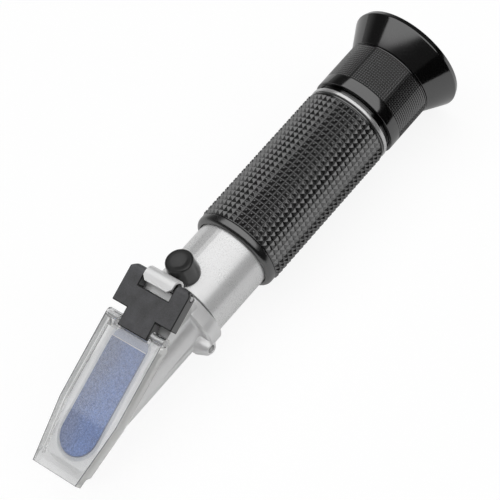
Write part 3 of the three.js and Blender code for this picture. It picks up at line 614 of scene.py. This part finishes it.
def stud(bm, station, angle, length, turn, foot, top, share):
    """One pyramid of a knurl, with a flat top, sunk a little into what carries it."""
    corners = []
    for radius, part in ((foot, 1), (top, share)):
        for side, end in ((-1, -1), (1, -1), (1, 1), (-1, 1)):
            a = angle + side * part * turn / 2
            z = station + end * part * length / 2
            point = Vector((radius * math.cos(a), radius * math.sin(a), z))
            corners.append(bm.verts.new(ALONG_TUBE @ point))
    low, high = corners[:4], corners[4:]
    bm.faces.new(low)
    bm.faces.new(high)
    for i in range(4):
        j = (i + 1) % 4
        bm.faces.new((low[i], low[j], high[j], high[i]))


def knurl(bm, start, end, rows, columns, foot, top, share):
    """Rows and columns of studs between two stations, from the foot's radius to the top's."""
    pitch = (end - start) / rows
    turn = math.tau / columns
    for row in range(rows):
        for column in range(columns):
            station = start + (row + 0.5) * pitch
            angle = (column + 0.5) * turn
            stud(bm, station, angle, pitch, turn, foot, top, share)


def span(node):
    """Front and rear stations and the outer radius of a round node on the tube's axis."""
    low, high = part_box(node)
    return low.x, high.x, (high.y - low.y) / 2


def loft(bm, loops):
    """Skins a row of closed loops with the same number of points, and closes both ends."""
    rings = [[bm.verts.new(point) for point in loop] for loop in loops]
    for first, second in zip(rings, rings[1:]):
        for i in range(len(first)):
            j = (i + 1) % len(first)
            bm.faces.new((first[i], first[j], second[j], second[i]))
    bm.faces.new(rings[0])
    bm.faces.new(rings[-1])


def ear_loop(side, station, inset):
    """A cross-section of one ear: down its outside, and back up inside the collar."""
    collar = span("main_tube")[2] - MICRON
    root = collar - EAR_ROOT
    outer = []
    inner = []
    for i in range(EAR_FACETS + 1):
        angle = EAR_START + EAR_SWEEP * i / EAR_FACETS
        across, up = math.sin(angle), math.cos(angle)
        y, z = across * collar, up * collar
        if EAR_OFFSET * across - EAR_DROP * up + EAR_RADIUS > collar:
            y = EAR_OFFSET + across * EAR_RADIUS
            z = up * EAR_RADIUS - EAR_DROP
        outer.append((station, side * (y - inset * across), AXIS_Z + z - inset * up))
        inner.append((station, side * root * across, AXIS_Z + root * up))
    return outer + inner[::-1]


def make_collar_ears():
    """Each side of the housing's collar widens into a rounded ear behind its lug."""
    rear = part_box("prism_housing")[1].x - MICRON
    front = rear - COLLAR_LENGTH + 2 * MICRON
    sections = (
        (front, COLLAR_CHAMFER),
        (front + COLLAR_CHAMFER, 0),
        (rear - COLLAR_REAR_EASE, 0),
        (rear - COLLAR_REAR_EASE / 3, COLLAR_REAR_EASE / 3),
        (rear, COLLAR_REAR_EASE),
    )
    bm = bmesh.new()
    for side in (-1, 1):
        loft(bm, [ear_loop(side, station, inset) for station, inset in sections])
    add_piece("collar_ears", bm, "prism_housing")


def make_grip():
    """The rubber sleeve: a smooth flange, the square knurl, and a narrow band at the rear."""
    front, rear, radius = span("rubber_grip")
    bore = radius - GRIP_WALL
    flange_rear = front + GRIP_FLANGE_LENGTH
    band_front = rear - GRIP_BAND_LENGTH
    root = radius - GRIP_KNURL_DEPTH
    flange = radius - GRIP_FLANGE_DROP
    band = root + GRIP_BAND_STEP
    bm = bmesh.new()
    spin(bm, eased([
        (front, bore, CRISP_EASE),
        (front, flange, GRIP_FLANGE_EASE),
        (flange_rear, flange, GRIP_FLANGE_REAR_EASE),
        (flange_rear, root, CRISP_EASE),
        (band_front, root),
        (band_front, band, CRISP_EASE),
        (rear, band, GRIP_REAR_EASE),
        (rear, bore, CRISP_EASE),
    ]))
    knurl(bm, flange_rear + GRIP_KNURL_MARGIN, band_front - GRIP_KNURL_MARGIN, GRIP_ROWS,
          GRIP_COLUMNS, root - GRIP_STUD_SINK, radius, GRIP_KNURL_TOP_SHARE)
    add_piece("knurled_grip", bm, "rubber_grip")


def make_trim_ring():
    """The bright ring behind the grip."""
    front, rear, radius = span("trim_ring")
    bore = radius - TRIM_WALL
    bm = bmesh.new()
    spin(bm, eased([
        (front, bore, CRISP_EASE),
        (front, radius, TRIM_EASE),
        (rear, radius, TRIM_EASE),
        (rear, bore, CRISP_EASE),
    ]))
    add_piece("bright_ring", bm, "trim_ring")


def make_focus_ring():
    """The focus ring: a smooth band, a fine knurl, and a web inside that carries the barrel."""
    front, rear, radius = span("focus_ring")
    bore = radius - FOCUS_WALL
    band_rear = front + FOCUS_BAND_LENGTH
    land_front = rear - FOCUS_REAR_LAND
    root = radius - FOCUS_KNURL_DEPTH
    web_front = front + FOCUS_WEB_PLACE
    web_rear = web_front + FOCUS_WEB_LENGTH
    bm = bmesh.new()
    spin(bm, eased([
        (front, bore, CRISP_EASE),
        (front, radius, FOCUS_FRONT_EASE),
        (band_rear, radius, FOCUS_LAND_EASE),
        (band_rear, root),
        (land_front, root),
        (land_front, radius, FOCUS_LAND_EASE),
        (rear, radius, FOCUS_REAR_EASE),
        (rear, FOCUS_RECESS_RADIUS),
        (web_rear, FOCUS_RECESS_RADIUS),
        (web_rear, FOCUS_NECK_RADIUS),
        (web_front, FOCUS_NECK_RADIUS),
        (web_front, bore),
    ]))
    knurl(bm, band_rear + FOCUS_KNURL_MARGIN, land_front - FOCUS_KNURL_MARGIN, FOCUS_ROWS,
          FOCUS_COLUMNS, root - FOCUS_STUD_SINK, radius, FOCUS_KNURL_TOP_SHARE)
    add_piece("focus_collar", bm, "focus_ring")


def make_eyecup():
    """A plain cone outside, with a rim that rolls back, and a shallow bowl inside."""
    low_x, rim_x, rim = span("eyecup")
    seam_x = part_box("focus_ring")[1].x + CUP_SEAM
    neck = span("focus_ring")[2]
    crest_x = rim_x - CUP_RIM_LENGTH
    floor_x = seam_x + CUP_THROAT_LENGTH
    throat = neck - CUP_THROAT_WALL
    spigot = throat + CUP_WALL
    bowl = neck - CUP_WALL
    lip = rim - CUP_RIM_DROP
    bm = bmesh.new()
    spin(bm, eased([
        (low_x, throat),
        (low_x, spigot),
        (seam_x, spigot),
        (seam_x, neck, CUP_SEAM_EASE),
        (crest_x, rim, CUP_CREST_EASE),
        (rim_x, lip, CUP_LIP_EASE),
        (rim_x - CUP_RIM_HOLLOW, lip - CUP_WALL, CUP_BOWL_EASE),
        (floor_x, bowl, CUP_FLOOR_EASE),
        (floor_x, throat, CUP_THROAT_EASE),
    ], CUP_STEPS))
    add_piece("flared_eyecup", bm, "eyecup")


def make_thread_sleeve():
    """The sleeve seen in the gap in front of the focus ring, with its shallow thread."""
    front, rear, crest = span("focus_thread_sleeve")
    bore = crest - SLEEVE_WALL
    root = crest - THREAD_DEPTH
    profile = [(front, bore), (front, root)]
    station = front + THREAD_LEAD
    while station + THREAD_PITCH < rear:
        profile += [
            (station, crest),
            (station + THREAD_CREST_END_SHARE * THREAD_PITCH, crest),
            (station + THREAD_ROOT_START_SHARE * THREAD_PITCH, root),
            (station + THREAD_ROOT_END_SHARE * THREAD_PITCH, root),
        ]
        station += THREAD_PITCH
    profile += [(rear, root), (rear, bore)]
    bm = bmesh.new()
    spin(bm, profile)
    add_piece("threaded_sleeve", bm, "focus_thread_sleeve")


def cap_rings():
    """The cap's rings, each a height, a radius and whether it follows the tube."""
    low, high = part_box("calibration_cap")
    base = (high.x - low.x) / 2
    crown = base - CAP_TAPER
    seat = AXIS_Z + span("main_tube")[2]
    top = high.z
    roof = top - CAP_ROOF
    outside = eased([
        (seat, base),
        (seat + CAP_FOOT_HEIGHT, base, CAP_FOOT_EASE),
        (top - CAP_SHOULDER_DROP, crown + CAP_SHOULDER_STEP, CAP_SHOULDER_EASE),
        (top, crown - CAP_LIP_STEP, CAP_LIP_EASE),
        (top - CAP_DISH_DEPTH, crown * CAP_DISH_SHARE, CAP_DISH_EASE),
        (top - CAP_DISH_MIDDLE, 0),
    ], CAP_STEPS)
    rings = [(height, radius, False) for height, radius in reversed(outside[1:])]
    rings += [(seat, base, True), (seat, CAP_HOLLOW_RADIUS, True)]
    rings += [(roof, CAP_HOLLOW_RADIUS, False), (roof, 0, False)]
    return rings


def make_cap():
    """A rubber cap whose foot follows the tube, with a soft top edge and a dished top."""
    low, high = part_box("calibration_cap")
    x = (low.x + high.x) / 2
    foot = span("main_tube")[2] + CAP_FOOT_GAP
    bm = bmesh.new()
    rings = []
    for height, radius, on_tube in cap_rings():
        facets = SMALL_FACETS if radius > MICRON else 1
        ring = []
        for i in range(facets):
            angle = math.tau * i / facets
            y = radius * math.sin(angle)
            z = AXIS_Z + math.sqrt(foot**2 - y**2) if on_tube else height
            ring.append(bm.verts.new((x + radius * math.cos(angle), y, z)))
        rings.append(ring)
    skin(bm, rings)
    add_piece("rubber_cap", bm, "calibration_cap")


def solid_copy(node):
    """The shape of a CAD node with its triangles joined into whole flats."""
    bm = bmesh.new()
    bm.from_mesh(frame["nodes"][node].data)
    bmesh.ops.remove_doubles(bm, verts=bm.verts, dist=WELD)
    bmesh.ops.dissolve_limit(bm, angle_limit=FLAT_ANGLE, verts=bm.verts, edges=bm.edges)
    return bm


def ease_edges(piece, ease, steps=EASE_STEPS, limit="ANGLE"):
    """Rounds the piece's sharp edges or, where the limit is WEIGHT, its weighted ones."""
    bevel = piece.modifiers.new("eased_edges", "BEVEL")
    bevel.width = ease
    bevel.segments = steps
    bevel.limit_method = limit
    bevel.angle_limit = EASED_ANGLE
    bevel.use_clamp_overlap = False
    bevel.harden_normals = True
    return bevel


def weigh_edges(bm, edges, weight_of):
    """Weighs the sharp ones of the edges, for the easing."""
    weights = bm.edges.layers.float.new("bevel_weight_edge")
    for edge in edges:
        if edge.calc_face_angle(0) > SHARP_ANGLE:
            edge[weights] = weight_of(edge)


def make_softened(node, name, ease):
    ease_edges(add_piece(name, solid_copy(node), node), ease)


def make_housing():
    """The housing, with its outer edges eased and its inner ones left crisp."""
    bm = solid_copy("prism_housing")

    def weight(edge):
        return 1 if edge.is_convex and edge.calc_length() > 2 * HOUSING_EASE else 0

    weigh_edges(bm, bm.edges, weight)
    shell = add_piece("housing_shell", bm, "prism_housing")
    ease_edges(shell, HOUSING_EASE, limit="WEIGHT")


def make_block():
    """The hinge block, with painted shade on its eased edges, which are near-black and glossy,
    except at its pin holes.
    """
    bm = solid_copy("hinge_block")
    pins = [sum(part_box(node), Vector()) / 2 for node in ("hinge_pin", "plate_pin")]

    def weight(edge):
        middle = (edge.verts[0].co + edge.verts[1].co) / 2
        reach = min(math.hypot(middle.x - pin.x, middle.z - pin.z) for pin in pins)
        return 1 if reach > PIN_RIM_REACH else 0

    weigh_edges(bm, bm.edges, weight)
    block = add_piece("hinge_arm_block", bm, "hinge_block")
    block.data.materials.append(BLOCK_SHADED_EDGE)
    ease_edges(block, BLOCK_EASE, BLOCK_STEPS, "WEIGHT").material = 1


def make_plate():
    """The clear plate, with dulled side faces and a grey line of painted shade round its top,
    widest at the left.
    """
    bm = solid_copy("daylight_plate")
    upper = (face for face in bm.faces if face.normal.z > FACING_SHARE)
    top = max(upper, key=lambda face: face.calc_area())
    for face in bm.faces:
        off_centre = face.calc_center_median().y
        if face.normal.y * off_centre > FACING_SHARE * abs(off_centre):
            face.material_index = 1

    def weight(edge):
        on_left = all(vert.co.y > PLATE_RIM_EASE for vert in edge.verts)
        return 1 if on_left else PLATE_RIM_SHARE

    weigh_edges(bm, top.edges, weight)
    plate = add_piece("clear_plate", bm, "daylight_plate")
    plate.data.materials.append(PLATE_SIDE)
    plate.data.materials.append(PLATE_SHADED_EDGE)
    ease_edges(plate, PLATE_RIM_EASE, limit="WEIGHT").material = 2


def make_seal():
    """The resin line round the prism, run out over the edges on both sides of it."""
    bm = solid_copy("prism_seal")
    up = max(bm.faces, key=lambda face: face.calc_area() * face.normal.z).normal
    shifts = {}
    for vert in bm.verts:
        away = Vector()
        for face in vert.link_faces:
            if abs(face.normal.dot(up)) < FACING_SHARE:
                away += face.normal
        shifts[vert] = away.normalized() * SEAL_OVERLAP + up * MICRON
    for vert, shift in shifts.items():
        vert.co += shift
    add_piece("resin_line", bm, "prism_seal")


make_grip()
make_trim_ring()
make_focus_ring()
make_eyecup()
make_thread_sleeve()
make_cap()
make_housing()
make_collar_ears()
make_block()
make_softened("hinge_leaf", "bent_leaf", LEAF_EASE)
make_plate()
make_seal()
make_softened("main_tube", "satin_tube", TUBE_EASE)
make_softened("side_screw_left", "slotted_screw_left", SCREW_EASE)
make_softened("side_screw_right", "slotted_screw_right", SCREW_EASE)

for node, part in frame["nodes"].items():
    if not part.hide_render:
        dress_node(node)


def flat_sheet(name, half_x, half_y, material):
    bm = bmesh.new()
    bmesh.ops.create_grid(bm, x_segments=1, y_segments=1, size=1)
    bmesh.ops.scale(bm, vec=(half_x, half_y, 1), verts=bm.verts)
    mesh = bpy.data.meshes.new(name)
    bm.to_mesh(mesh)
    bm.free()
    mesh.materials.append(material)
    sheet = bpy.data.objects.new(name, mesh)
    bpy.context.scene.collection.objects.link(sheet)
    return sheet


def white_paper():
    """White paper, lit evenly enough to look white and still hold a soft shadow."""
    material, s = new_material("white_paper")
    fibre = s.noise(PAPER_FIBRE, 3)
    tone = s.colours(fibre, grey(0.70), grey(0.74))
    shade = s.add("ShaderNodeBsdfDiffuse", inputs={"Color": tone})
    glow = s.add("ShaderNodeEmission", inputs={"Color": grey(1), "Strength": PAPER_GLOW})
    seen = s.add("ShaderNodeLightPath", output="Is Camera Ray")
    mirrored = s.add("ShaderNodeLightPath", output="Is Glossy Ray")
    share = seen * PAPER_SEEN_SHARE + mirrored * PAPER_MIRRORED_SHARE
    mixed = s.add("ShaderNodeMixShader", inputs={0: share, 1: shade, 2: glow})
    s.output("ShaderNodeOutputMaterial", mixed)
    return material


def black_card():
    """Matt black card."""
    material, s = new_material("black_card")
    fibre = s.noise(CARD_FIBRE, 2)
    tone = s.colours(fibre, grey(0.01), grey(0.02))
    s.output("ShaderNodeOutputMaterial", s.add("ShaderNodeBsdfDiffuse", inputs={"Color": tone}))
    return material


def make_card():
    """A black card to the right gives the glossy pieces a dark band. Only reflections see it."""
    card = flat_sheet("black_card", CARD_REACH, CARD_HEIGHT / 2, black_card())
    card.rotation_euler = (math.pi / 2, 0, 0)
    card.location = (CARD_REACH / 2, -CARD_DISTANCE, CARD_HEIGHT / 2)
    card.visible_camera = False
    card.visible_diffuse = False
    card.visible_transmission = False
    card.visible_shadow = False


def make_world():
    """One soft-edged rectangle of light overhead, and a dark room that pales at the left."""
    world = bpy.data.worlds.new("studio")
    bpy.context.scene.world = world
    world.use_nodes = True
    s = Shading(world.node_tree)
    way = s.place("Generated")
    x, y, z = (s.along(axis, way) for axis in "XYZ")
    height = z.maths("MAXIMUM", z, LEAST_HEIGHT)
    edge = LIGHT_EDGE_SLOPE
    lit = z.rising(0, HORIZON_EDGE)
    for slope, low, high in (
        (x / height, LIGHT_FRONT_SLOPE, LIGHT_REAR_SLOPE),
        (y / height, LIGHT_RIGHT_SLOPE, LIGHT_LEFT_SLOPE),
    ):
        lit = lit * slope.rising(low - edge, low + edge)
        lit = lit * (1 - slope.rising(high - edge, high + edge))
    pale = y.rising(0, PALE_LEFT) * (1 - z.rising(0, PALE_HEIGHT))
    room = DARK_LEVEL + lit * (LIGHT_LEVEL - DARK_LEVEL) + pale * (HORIZON_LEVEL - DARK_LEVEL)
    seen = s.add("ShaderNodeLightPath", output="Is Camera Ray")
    through = s.add("ShaderNodeLightPath", output="Is Transmission Ray")
    white = (seen + through * (1 - z.rising(WHITE_HEIGHT, WHITE_END_HEIGHT))).clamped()
    strength = room * (1 - white) + white
    background = s.add("ShaderNodeBackground", inputs={"Color": grey(1), "Strength": strength})
    s.output("ShaderNodeOutputWorld", background)


def make_camera():
    """The camera, turned about its own axis so that the tube lies as in the photo."""
    camera = bpy.data.cameras.new("camera")
    camera.lens = CAMERA_LENS
    camera.sensor_width = CAMERA_SENSOR
    camera.clip_start = CAMERA_NEAR
    eye = bpy.data.objects.new("camera", camera)
    back = Vector((
        math.sin(CAMERA_AZIMUTH) * math.cos(CAMERA_ELEVATION),
        -math.cos(CAMERA_AZIMUTH) * math.cos(CAMERA_ELEVATION),
        math.sin(CAMERA_ELEVATION),
    ))
    turn = back.to_track_quat("Z", "Y").to_matrix().to_4x4()
    roll = Matrix.Rotation(CAMERA_ROLL, 4, "Z")
    eye.matrix_world = Matrix.Translation(CAMERA_TARGET + back * CAMERA_DISTANCE) @ turn @ roll
    bpy.context.scene.collection.objects.link(eye)
    bpy.context.scene.camera = eye


flat_sheet("white_sheet", FLOOR_REACH, FLOOR_REACH, white_paper())
make_card()
make_world()
make_camera()
bpy.context.scene.view_settings.view_transform = "Standard"
